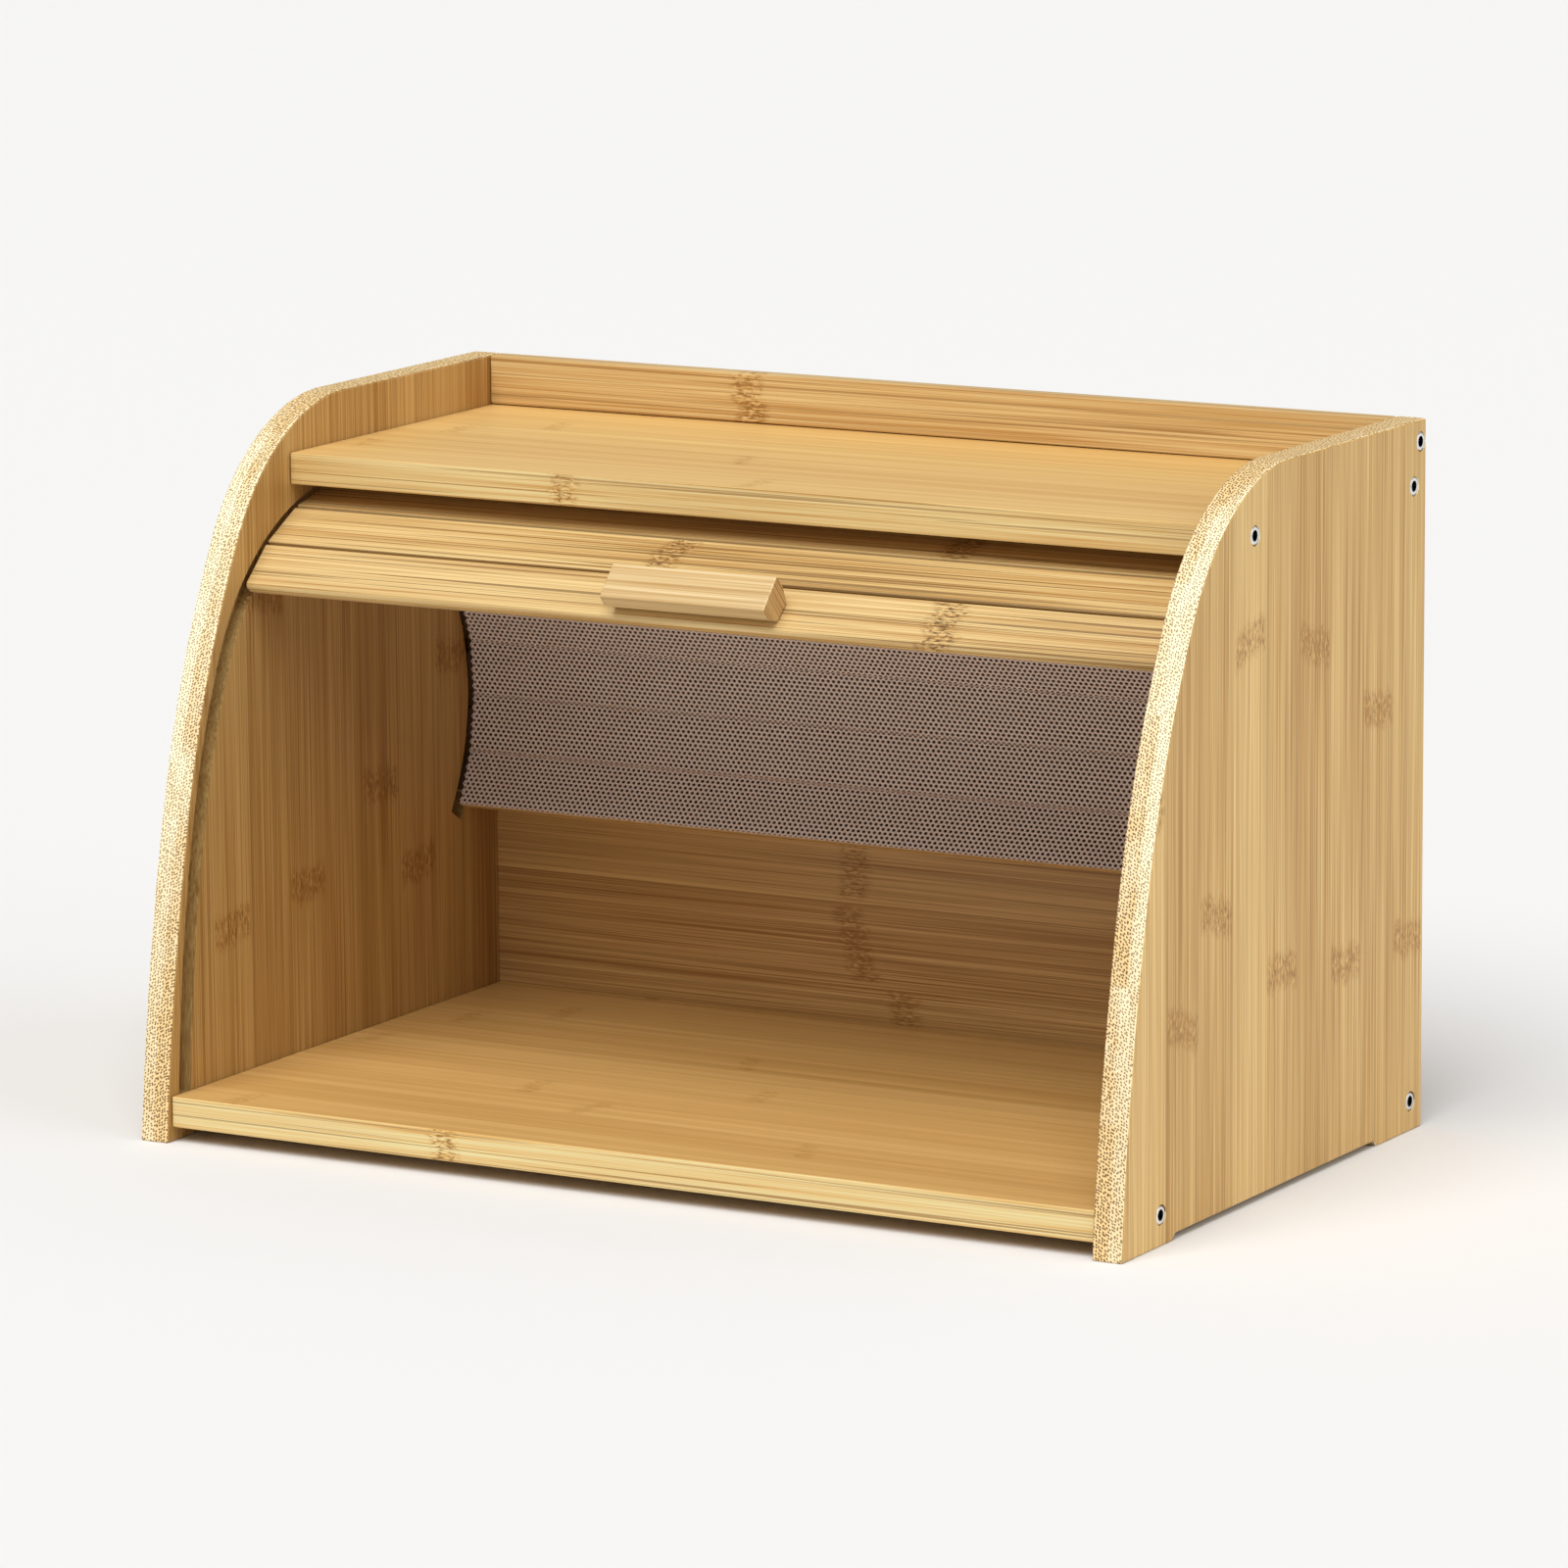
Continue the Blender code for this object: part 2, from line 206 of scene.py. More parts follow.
def bamboo_grain():
    """Bamboo seen along its fibres: strips side by side, streaks, dark lines and one culm node each.

    Across, Depth and Along are metres in the board's own directions, Place counts strips, and
    Knot says how far along each strip its culm node sits.
    """
    g, i, o = group(
        "bamboo_grain",
        [("Across", "f", 0.0), ("Depth", "f", 0.0), ("Along", "f", 0.0), ("Place", "f", 0.0),
         ("Light", "c", rgb("E9CC94")), ("Dark", "c", rgb("A9753A")), ("Line", "c", rgb("7A5526")),
         ("Spot", "c", rgb("8F6026")),
         ("Streaks", "f", 0.5), ("Lines", "f", 0.3), ("Line Size", "f", 0.0009),
         ("Tone", "f", 0.3), ("Knot", "f", 0.0), ("Knot Gap", "f", 0.3), ("Knot Size", "f", 0.006),
         ("Knots", "f", 0.6), ("Joint", "f", 0.01), ("Seed", "f", 0.0)],
        [("Color", "c"), ("Height", "f"), ("Rough", "f")])
    across, depth, along = i["Across"], i["Depth"], i["Along"]
    index = g.math("FLOOR", i["Place"])
    inside = g.math("FRACT", i["Place"])
    luck = g.chance(g.plus(index, i["Seed"]))
    shift = g.math("MULTIPLY_ADD", luck, 31.0, g.times(i["Seed"], 17.0))

    def fibres(size, length, detail, rough):
        where = g.vector(g.over(across, size), g.over(depth, size),
                         g.plus(g.over(along, length), shift))
        return g.noise(where, 1.0, detail, rough)

    fine = fibres(*FINE_FIBRE, 2.0, 0.55)
    broad = fibres(*BROAD_FIBRE, 1.0, 0.5)
    line = g.ramp(fibres(i["Line Size"], LINE_LENGTH, 1.0, 0.4), 0.580, 0.630)
    hair = g.ramp(fine, 0.61, 0.69)

    # a culm node: a crooked band of short dark and pale dashes, with livelier grain round it
    gap = i["Knot Gap"]
    run = g.math("WRAP", g.minus(along, i["Knot"]), g.times(gap, 0.5), g.times(gap, -0.5))
    spot = g.vector(g.over(across, DASH[0]), g.over(depth, DASH_DEPTH), g.over(along, DASH[1]))
    dash = g.noise(spot, 1.0, 2.0, 0.6, 0.5)
    tilt = g.times(g.minus(inside, 0.5), g.times(g.minus(luck, 0.4), NODE_TILT))
    wavy = g.noise(g.vector(g.over(across, NODE_WAVE), luck, 0.0), 1.0, 1.0)
    off = g.plus(run, g.math("MULTIPLY_ADD", g.minus(wavy, 0.5), NODE_SWING, tilt))
    off = g.math("ABSOLUTE", off)
    size = i["Knot Size"]
    band = g.flip(g.ramp(off, g.times(size, 0.35), size))
    halo = g.flip(g.ramp(off, size, g.times(size, 5.0)))
    edge = g.math("MINIMUM", inside, g.flip(inside))
    band = g.times(band, i["Knots"], g.ramp(edge, 0.0, 0.10))
    dark_dash = g.times(band, g.ramp(dash, 0.50, 0.62))
    pale_dash = g.times(band, g.flip(g.ramp(dash, 0.36, 0.46)))
    joint = g.flip(g.ramp(edge, g.times(i["Joint"], 0.3), i["Joint"]))

    lively = g.math("MULTIPLY_ADD", g.times(halo, i["Knots"]), 0.45, 1.0)
    amount = g.times(g.minus(fine, 0.5), g.times(i["Streaks"], lively))
    amount = g.math("MULTIPLY_ADD", amount, 2.4, 0.45)
    amount = g.plus(amount, g.times(g.minus(broad, 0.5), 0.8))
    amount = g.math("MULTIPLY_ADD", g.minus(luck, 0.5), i["Tone"], amount)
    amount = g.math("MULTIPLY_ADD", band, 0.30, amount, True)
    colour = g.mix(amount, i["Light"], i["Dark"])
    colour = g.mix(g.times(pale_dash, 0.55), colour, g.tint(i["Light"], 1.12))
    weight = g.times(line, i["Lines"])
    weight = g.math("MAXIMUM", weight, g.times(hair, g.times(i["Lines"], 0.55)))
    weight = g.math("MAXIMUM", weight, g.times(joint, 0.28), None, True)
    colour = g.mix(weight, colour, i["Line"])
    g.plug(o["Color"], g.mix(g.times(dark_dash, 0.84), colour, i["Spot"]))
    g.plug(o["Height"], g.minus(g.times(fine, 0.3), g.times(weight, 0.7)))
    g.plug(o["Rough"], g.math("MULTIPLY_ADD", amount, 0.14, 0.36))
    return g.tree


def bamboo_ends():
    """Cut ends of bamboo: cream ground with brown fibre dots, denser and warmer in the inner ply.

    Across is metres from the middle of the board's thickness, rising outwards.
    """
    g, i, o = group(
        "bamboo_ends",
        [("Across", "f", 0.0), ("Along", "f", 0.0), ("Block", "f", 0.0), ("Shade", "f", 0.0),
         ("Light", "c", rgb("FFF3CF")), ("Warm", "c", rgb("F0CF92")),
         ("Dot", "c", rgb("6C4519")), ("Pitch", "f", 0.00116), ("Seed", "f", 0.0)],
        [("Color", "c"), ("Height", "f"), ("Rough", "f")])
    block = g.math("FLOOR", i["Block"])
    luck = g.chance(g.plus(block, i["Seed"]))
    seam = g.times(g.minus(luck, 0.5), PLY_SHIFT)
    inner = g.flip(g.ramp(g.minus(i["Across"], seam), -PLY_BLUR, PLY_BLUR))
    cloud = g.noise(g.vector(g.over(i["Across"], CLOUD[0]), g.over(i["Along"], CLOUD[1]), i["Seed"]),
                    1.0, 2.0)
    dense = g.math("MULTIPLY_ADD", inner, g.math("MULTIPLY_ADD", luck, 0.34, 0.28), 0.14)
    dense = g.math("MULTIPLY_ADD", g.minus(cloud, 0.5), 1.3, dense)
    dense = g.math("ADD", dense, i["Shade"], None, True)
    cells = g.add("ShaderNodeTexVoronoi", voronoi_dimensions="2D", feature="F1")
    slant = g.plus(i["Along"], g.times(i["Across"], 0.45))
    g.plug(cells.inputs["Vector"],
           g.vector(g.over(i["Across"], i["Pitch"]), g.over(slant, i["Pitch"]), 0.0))
    cells.inputs["Scale"].default_value = 1.0
    cells.inputs["Randomness"].default_value = 0.60
    reach = g.math("MULTIPLY_ADD", dense, 0.07, 0.265)
    dots = g.flip(g.ramp(cells.outputs["Distance"], g.minus(reach, 0.07), g.plus(reach, 0.05)))
    ground = g.mix(dense, i["Light"], i["Warm"])
    ink = g.times(dots, g.math("MULTIPLY_ADD", dense, 0.22, 0.74))
    g.plug(o["Color"], g.mix(ink, ground, i["Dot"]))
    g.plug(o["Height"], g.times(dots, -0.6))
    g.plug(o["Rough"], g.math("MULTIPLY_ADD", dots, 0.15, 0.50))
    return g.tree


GRAIN = bamboo_grain()
ENDS = bamboo_ends()


# ---------------------------------------------------------------- materials

PANEL_STRIP = 0.0256       # widths of the glued strips
BOARD_STRIP = 0.0225
BACK_STRIP = 0.031
END_BLOCK = 0.047
BOARD_KNOT_GAP = 0.39      # a strip's culm nodes come this far apart
BACK_KNOT_GAP = 0.36
EDGE_RIM = 0.004           # wood left between the panels' edge and their grooves
REAR_RIM = 0.003
FRONT_READ_TO = 0.80       # shares of the panels' height
TOP_READ_FROM = 0.82
GROOVE_LOW = 0.012
GROOVE_HIGH = 0.232
# painted shade: the side panels' faces turned into the box are darkened by this factor, for the shade
# inside the box
INNER_FACE_PAINTED_SHADE = (0.78, 0.72, 0.70, 1)
# painted shade: the groove walls get the face colour scaled by this, for the shade in the grooves
GROOVE_PAINTED_SHADE = 0.60
SOCKET_RADIUS = 0.00205    # of the screws' hexagonal sockets
SOCKET_BLUR = 0.0001


def new_material(name, roughness=0.5, metallic=0.0, coat=0.0):
    """A material, the graph of its nodes and its shader."""
    mat = bpy.data.materials.new(name)
    mat.use_nodes = True
    g = Graph(mat.node_tree)
    shader = mat.node_tree.nodes["Principled BSDF"]
    shader.inputs["Roughness"].default_value = roughness
    shader.inputs["Metallic"].default_value = metallic
    shader.inputs["Coat Weight"].default_value = coat
    shader.inputs["Coat Roughness"].default_value = 0.35
    return mat, g, shader


def use_group(g, tree, **values):
    """Adds a node group with its inputs set by name, and gives its outputs."""
    node = g.add("ShaderNodeGroup")
    node.node_tree = tree
    for key, value in values.items():
        g.plug(node.inputs[key.replace("_", " ")], value)
    return node.outputs


def relief(g, shader, height, depth):
    """Fine relief: depth is in metres, for a height of 1."""
    bump = g.add("ShaderNodeBump")
    bump.inputs["Strength"].default_value = 1.0
    bump.inputs["Distance"].default_value = depth
    g.plug(bump.inputs["Height"], height)
    g.plug(shader.inputs["Normal"], bump.outputs["Normal"])


def place_and_facing(g):
    """Object coordinates and how far the surface faces each axis."""
    coordinates = g.add("ShaderNodeTexCoord").outputs
    spot = g.split(coordinates["Object"])
    facing = g.split(coordinates["Normal"])
    return spot, facing


def turned_to(g, amount):
    """1 where the surface faces an axis squarely, 0 where it is turned well away from it."""
    return g.ramp(g.math("ABSOLUTE", amount), 0.55, 0.80)


def steps(g, value, heights):
    """The number that belongs to each strip, counted from strip 0."""
    node = g.add("ShaderNodeValToRGB")
    ramp = node.color_ramp
    ramp.interpolation = "CONSTANT"
    while len(ramp.elements) < len(heights):
        ramp.elements.new(1.0)
    for k, height in enumerate(heights):
        ramp.elements[k].position = k / len(heights)
        ramp.elements[k].color = (height, height, height, 1)
    g.plug(node.inputs["Fac"], g.over(value, float(len(heights))))
    return g.split(node.outputs["Color"])[0]


def finish_wood(g, shader, first, depth, mask=None, other=None):
    """Joins colour, height and roughness to the shader, with a second set where mask is 1."""
    colour, height, rough = (first[n] for n in ("Color", "Height", "Rough"))
    if other:
        colour = g.mix(mask, colour, other["Color"])
        height = g.lerp(mask, height, other["Height"])
        rough = g.lerp(mask, rough, other["Rough"])
    g.plug(shader.inputs["Base Color"], colour)
    g.plug(shader.inputs["Roughness"], rough)
    relief(g, shader, height, depth)


def curve(g, value, points):
    """The smooth line through the given points, read at value."""
    node = g.add("ShaderNodeFloatCurve")
    spots = node.mapping.curves[0].points
    for k, point in enumerate(points):
        spot = spots[k] if k < 2 else spots.new(*point)
        spot.location = point
    node.mapping.update()
    g.plug(node.inputs["Value"], value)
    return node.outputs[0]


def way_round(front_edge, upper_edge):
    """How long the panel's edge is from its front foot to each point, by the point's Y + Z.

    The front is read at even heights and the top at even depths. Both numbers are halved, so that
    they stay between 0 and 1.
    """
    spots = [(y, z) for z, y in front_edge if z < FRONT_READ_TO]
    spots += [(y, z) for y, z in upper_edge if z > TOP_READ_FROM]
    gone, points = 0.0, []
    for k, (y, z) in enumerate(spots):
        gone += math.dist(spots[k - 1], (y, z)) if k else z
        points.append(((y + z) / 2, gone / 2))
    return points


def groove_walls(g, back, rise, front_edge, upper_edge):
    """1 in the grooves and slots, which lie behind the front edge and below the upper one."""
    behind = g.minus(back, curve(g, rise, front_edge))
    below = g.minus(curve(g, back, upper_edge), rise)
    within = g.math("GREATER_THAN", g.math("MINIMUM", behind, below), EDGE_RIM / TALL)
    before_rear = g.math("LESS_THAN", back, (REAR - FRONT - REAR_RIM) / TALL)
    above_foot = g.math("GREATER_THAN", rise, GROOVE_LOW / TALL)
    under_top = g.math("LESS_THAN", rise, GROOVE_HIGH / TALL)
    return g.times(within, before_rear, above_foot, under_top)


def panel_material(name, seed, knots, front_edge, upper_edge):
    """Side panels: upright grain on the faces, dotted cut ends round the edge, painted shade inside
    and in the grooves.
    """
    mat, g, shader = new_material(name, 0.46, 0.0, 0.05)
    spot, facing = place_and_facing(g)
    place = g.over(g.minus(spot[1], FRONT - PANEL_STRIP * 0.72), PANEL_STRIP)
    face = use_group(g, GRAIN, Across=spot[1], Depth=spot[0], Along=spot[2], Place=place,
                     Light=rgb("E7C27A"), Dark=rgb("AD7D35"), Line=rgb("80561F"), Spot=rgb("9A6524"),
                     Streaks=1.0, Lines=0.26, Line_Size=0.0011, Tone=0.42, Knot=steps(g, place, knots),
                     Knot_Gap=0.34, Knot_Size=0.0085, Knots=0.9, Joint=0.012, Seed=seed)
    back = g.over(g.minus(spot[1], FRONT), TALL)
    rise = g.over(spot[2], TALL)
    half = g.times(g.plus(back, rise), 0.5)
    run = g.times(curve(g, half, way_round(front_edge, upper_edge)), 2 * TALL)
    from_middle = g.minus(g.math("ABSOLUTE", spot[0]), PANEL_MIDDLE)
    warm_foot = g.times(g.flip(g.ramp(spot[2], 0.02, 0.15)), 0.5)
    shade = g.math("MULTIPLY_ADD", g.ramp(g.math("ABSOLUTE", facing[2]), 0.75, 1.0), 0.8, warm_foot)
    ends = use_group(g, ENDS, Across=from_middle, Along=run, Block=g.over(run, END_BLOCK),
                     Shade=shade, Seed=seed)
    flat = turned_to(g, facing[0])
    finish_wood(g, shader, ends, 0.00007, flat, face)
    ground = shader.inputs["Base Color"].links[0].from_socket
    # painted shade: the faces turned into the box are darkened, for the shade inside the box
    inside = g.times(flat, g.math("LESS_THAN", g.times(spot[0], facing[0]), 0.0))
    ground = g.mix(inside, ground, g.mix(1.0, ground, INNER_FACE_PAINTED_SHADE, "MULTIPLY"))
    # painted shade: the walls of the grooves and slots are darkened, for the shade in them
    groove = g.times(groove_walls(g, back, rise, front_edge, upper_edge), g.flip(flat))
    g.plug(shader.inputs["Base Color"], g.mix(groove, ground, g.tint(face["Color"], GROOVE_PAINTED_SHADE)))
    return mat


def board_material(name, seed, edge_knot, light="EFC983", dark="C4944A", edge=("FFEAA8", "DCAA5C")):
    """Boards with their grain along the width: calm faces, lined edges."""
    mat, g, shader = new_material(name, 0.44, 0.0, 0.05)
    spot, facing = place_and_facing(g)
    place = g.over(g.minus(spot[1], FRONT), BOARD_STRIP)
    knot = g.times(g.chance(g.math("FLOOR", place)), BOARD_KNOT_GAP)
    calm = use_group(g, GRAIN, Across=spot[1], Depth=spot[2], Along=spot[0], Place=place,
                     Light=rgb(light), Dark=rgb(dark), Line=rgb("A0733A"), Streaks=0.30, Lines=0.10,
                     Line_Size=0.0016, Tone=0.26, Knot=knot, Knot_Gap=BOARD_KNOT_GAP,
                     Knot_Size=0.005, Knots=0.45, Joint=0.02, Seed=seed)
    lined = use_group(g, GRAIN, Across=spot[2], Depth=spot[1], Along=spot[0], Place=seed,
                      Light=rgb(edge[0]), Dark=rgb(edge[1]), Line=rgb("875A20"), Streaks=1.1,
                      Lines=0.72, Line_Size=0.00085, Tone=0.0, Knot=edge_knot, Knot_Gap=0.9,
                      Knot_Size=0.0075, Knots=1.0, Joint=0.0, Seed=seed + 0.4)
    up = turned_to(g, facing[2])
    finish_wood(g, shader, lined, 0.00012, up, calm)
    return mat


def back_material(name, seed):
    """Thin board at the back, in broad strips with their nodes here and there."""
    mat, g, shader = new_material(name, 0.50, 0.0, 0.03)
    spot, _ = place_and_facing(g)
    place = g.over(spot[2], BACK_STRIP)
    knot = g.times(g.chance(g.plus(g.math("FLOOR", place), 0.37)), BACK_KNOT_GAP)
    strips = use_group(g, GRAIN, Across=spot[2], Depth=spot[1], Along=spot[0], Place=place,
                       Light=rgb("DDB676"), Dark=rgb("A2723A"), Line=rgb("6E4818"), Streaks=0.8,
                       Lines=0.30, Line_Size=0.0011, Tone=0.40, Knot=knot, Knot_Gap=BACK_KNOT_GAP,
                       Knot_Size=0.0085, Knots=0.8, Joint=0.012, Seed=seed)
    finish_wood(g, shader, strips, 0.00010)
    return mat


def rail_material(name, seed):
    """The rail is cut across the strips, so that dark lines run along all of it."""
    mat, g, shader = new_material(name, 0.46, 0.0, 0.05)
    spot, _ = place_and_facing(g)
    lined = use_group(g, GRAIN, Across=spot[2], Depth=spot[1], Along=spot[0], Place=0.5,
                      Light=rgb("FFE4A4"), Dark=rgb("CC9850"), Line=rgb("80541F"), Streaks=1.1,
                      Lines=0.60, Line_Size=0.00085, Tone=0.0, Knot=-0.075, Knot_Gap=0.9,
                      Knot_Size=0.009, Knots=1.0, Joint=0.0, Seed=seed)
    finish_wood(g, shader, lined, 0.00014)
    return mat


def slat_material(name, centre, radius, pitch, knots):
    """Slats: at rest they lie on one arc, so the angle round it gives the place across each slat."""
    mat, g, shader = new_material(name, 0.45, 0.0, 0.05)
    spot, facing = place_and_facing(g)
    dy = g.minus(spot[1], centre[0])
    dz = g.minus(spot[2], centre[1])
    angle = g.math("ARCTAN2", dz, dy)
    across = g.times(angle, radius)
    depth = g.math("SQRT", g.plus(g.times(dy, dy), g.times(dz, dz)))
    place = g.over(g.minus(across, SLAT_START), pitch)
    lined = use_group(g, GRAIN, Across=across, Depth=depth, Along=spot[0], Place=place,
                      Light=rgb("FFE2A0"), Dark=rgb("C4914A"), Line=rgb("6E4814"), Spot=rgb("5A3A12"),
                      Streaks=1.1, Lines=0.78, Line_Size=0.00080, Tone=0.14,
                      Knot=steps(g, place, knots), Knot_Gap=0.62, Knot_Size=0.009, Knots=1.0,
                      Joint=0.0, Seed=0.35)
    # painted shade: the slats' inner faces behind the net are dark brown, for the shadow seen through
    # the net's holes
    outward = g.math("MULTIPLY_ADD", dy, facing[1], g.times(dz, facing[2]))
    shade_behind_net = g.flip(g.ramp(g.over(outward, depth), -0.8, -0.5))
    g.plug(shader.inputs["Base Color"], g.mix(shade_behind_net, lined["Color"], rgb("4C3628")))
    g.plug(shader.inputs["Roughness"], lined["Rough"])
    relief(g, shader, lined["Height"], 0.00018)
    return mat


def handle_material(name, along_slat):
    """Pale bar: lines along its length, and plies seen across its cut ends."""
    mat, g, shader = new_material(name, 0.44, 0.0, 0.05)
    spot, facing = place_and_facing(g)
    s, c = along_slat    # sine and cosine of the slope of the slat under the handle
    across = g.plus(g.times(spot[1], c), g.times(spot[2], s))
    outward = g.minus(g.times(spot[2], c), g.times(spot[1], s))
    side = use_group(g, GRAIN, Across=across, Depth=outward, Along=spot[0], Place=0.5,
                     Light=rgb("FAE2AE"), Dark=rgb("C99F5C"), Line=rgb("8C632C"), Streaks=1.0,
                     Lines=0.40, Line_Size=0.0011, Tone=0.0, Knot=0.0, Knot_Gap=0.9,
                     Knot_Size=0.004, Knots=0.0, Joint=0.0, Seed=0.2)
    end = use_group(g, GRAIN, Across=across, Depth=spot[0], Along=outward, Place=0.5,
                    Light=rgb("ECC888"), Dark=rgb("BE8B4C"), Line=rgb("6E461C"), Streaks=0.8,
                    Lines=0.90, Line_Size=0.00062, Tone=0.0, Knot=0.0, Knot_Gap=0.9,
                    Knot_Size=0.004, Knots=0.0, Joint=0.0, Seed=0.7)
    sideways = turned_to(g, facing[0])
    finish_wood(g, shader, side, 0.00014, sideways, end)
    return mat


def steel_material(name, sockets):
    """Satin steel, with shade painted dark inside the hexagonal sockets, which are given by Y and Z.
    """
    mat, g, shader = new_material(name, 0.30, 1.0)
    spot = g.add("ShaderNodeTexCoord").outputs["Object"]
    turn = g.noise(spot, 2600.0, 2.0, 0.5)
    smear = g.noise(spot, 420.0, 2.0, 0.5)
    place = g.split(spot)
    nearest = None
    for y, z in sockets:
        dy, dz = g.minus(place[1], y), g.minus(place[2], z)
        apart = g.math("SQRT", g.math("MULTIPLY_ADD", dy, dy, g.times(dz, dz)))
        nearest = apart if nearest is None else g.math("MINIMUM", nearest, apart)
    # painted shade: a dark disc at each socket stands in for the shadow in its hole
    socket_shade = g.flip(g.ramp(nearest, SOCKET_RADIUS - SOCKET_BLUR, SOCKET_RADIUS + SOCKET_BLUR))
    bright = g.mix(smear, rgb("D4D6D8"), rgb("F4F5F5"))
    g.plug(shader.inputs["Base Color"], g.mix(socket_shade, bright, rgb("2A2E38")))
    g.plug(shader.inputs["Roughness"], g.math("MULTIPLY_ADD", turn, 0.16, 0.20))
    relief(g, shader, turn, 0.00002)
    return mat


def net_material(name):
    """Off-white yarn, a little soiled."""
    mat, g, shader = new_material(name, 0.85)
    spot = g.add("ShaderNodeTexCoord").outputs["Object"]
    yarn = g.noise(spot, 2300.0, 2.0, 0.6)
    soil = g.noise(spot, 60.0, 2.0, 0.5)
    shade = g.mix(yarn, rgb("E0CFC8"), rgb("F2E6E0"))
    g.plug(shader.inputs["Base Color"], g.mix(g.times(soil, 0.25), shade, rgb("CDB9AE")))
    shader.inputs["Sheen Weight"].default_value = 0.3
    relief(g, shader, yarn, 0.00005)
    return mat


def dress(names, mat):
    """Gives CAD nodes their material."""
    for name in names:
        NODES[name].data.materials.clear()
        NODES[name].data.materials.append(mat)


def slat_frame(node):
    """Middle of a thin strip, its direction along the slat's width, and its width and thickness."""
    co = np.array([v.co for v in NODES[node].data.vertices], float)[:, 1:]
    middle = co.mean(0)
    _, _, axes = np.linalg.svd(co - middle, full_matrices=False)
    along = axes[0]
    return middle, along, np.ptp((co - middle) @ along), np.ptp((co - middle) @ axes[1])


def arc_of(joint_name):
    """The point in Y and Z that a slat turns about."""
    joint = next(j for j in frame["joints"] if j["name"] == joint_name)
    return joint["pos_m"][1], joint["pos_m"][2]


def outline(node, along, pick, count=24):
    """Where a panel ends at even steps along Y (0) or Z (1), all as shares of its height."""
    mesh = NODES[node].data
    co = (np.array([v.co[1:] for v in mesh.vertices]) - (FRONT, 0.0)) / TALL
    a, b = co[np.array([e.vertices[:] for e in mesh.edges])].transpose(1, 0, 2)
    points = []
    for level in np.linspace(0.002, co[:, along].max() - 0.002, count):
        hit = (a[:, along] - level) * (b[:, along] - level) < 0
        share = (level - a[hit, along]) / (b[hit, along] - a[hit, along])
        across = a[hit, 1 - along] + share * (b[hit, 1 - along] - a[hit, 1 - along])
        points.append((float(level), float(pick(across))))
    return points


def angle_of(point):
    """Angle round the arc, rising from the tail of the curtain over the top to its front."""
    return math.atan2(point[1] - ARC[1], point[0] - ARC[0])


NET_TO_SLAT = 0.0027       # from a net strip to the middle of its slat's thickness
ARC = arc_of(SLATS[-1] + "_path")
MIDDLES = [slat_frame(n)[0] for n in NETS]
STEP = abs(angle_of(MIDDLES[-2]) - angle_of(MIDDLES[-1]))
RADIUS = math.hypot(MIDDLES[-1][0] - ARC[0], MIDDLES[-1][1] - ARC[1]) + NET_TO_SLAT
SLAT_START = angle_of(MIDDLES[-1]) * RADIUS - 0.5 * STEP * RADIUS
FRONT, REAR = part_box("side_panel_right")[0].y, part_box("side_panel_right")[1].y
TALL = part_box("side_panel_right")[1].z
PANEL_MIDDLE = (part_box("side_panel_right")[0].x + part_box("side_panel_right")[1].x) / 2
# how high each strip's culm node is, from the front
PANEL_KNOTS = (0.15, 0.15, 0.073, 0.108, 0.200, 0.079, 0.191, 0.072, 0.160, 0.072)
# where each slat's culm node is, in metres from the middle, from the curtain's rear end
SLAT_KNOTS = (0.12, 0.30, 0.05, 0.21, 0.33, 0.08, 0.25, 0.16, 0.02, 0.085, 0.596, 0.097)

EDGES = (outline("side_panel_right", 1, min), outline("side_panel_right", 0, max))
dress(["side_panel_left"], panel_material("bamboo_panel_left", 0.13, PANEL_KNOTS[::-1], *EDGES))
dress(["side_panel_right"], panel_material("bamboo_panel_right", 0.0, PANEL_KNOTS, *EDGES))
# painted light: the base board's edges get lighter colours than the top board's, to make up for the
# light the low edges lack
dress(["base_board"],
      board_material("bamboo_base", 0.21, -0.074, "E6BC78", "B68640", ("FFF3B6", "F0BF6C")))
dress(["top_board"], board_material("bamboo_top", 0.62, -0.072))
dress(["back_rail"], rail_material("bamboo_rail", 0.55))
dress(["back_panel"], back_material("bamboo_back", 0.8))
dress(SLATS, slat_material("bamboo_slats", ARC, RADIUS, STEP * RADIUS, SLAT_KNOTS))
lead = slat_frame(NETS[0])[1]
lead = lead if lead[0] > 0 else -lead
dress(["handle"], handle_material("bamboo_handle", (lead[1], lead[0])))
heads = [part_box(n) for n in SCREWS if n.startswith("screw_right")]
dress(SCREWS, steel_material("screw_steel", [((a.y + b.y) / 2, (a.z + b.z) / 2) for a, b in heads]))


# ---------------------------------------------------------------- net behind the slats

NET_PITCH_X = 0.00224     # from cell to cell along a row
NET_PITCH_U = 0.00162     # from row to row, across the slat
NET_HOLE = 0.62           # a hole's size as a share of its cell's
NET_EXTRA = 0.0010        # wider than the CAD strip, so that the strips read as one sheet
NET_YARN = 0.8            # thickness, as a share of the CAD strip's
WELD = 1e-6


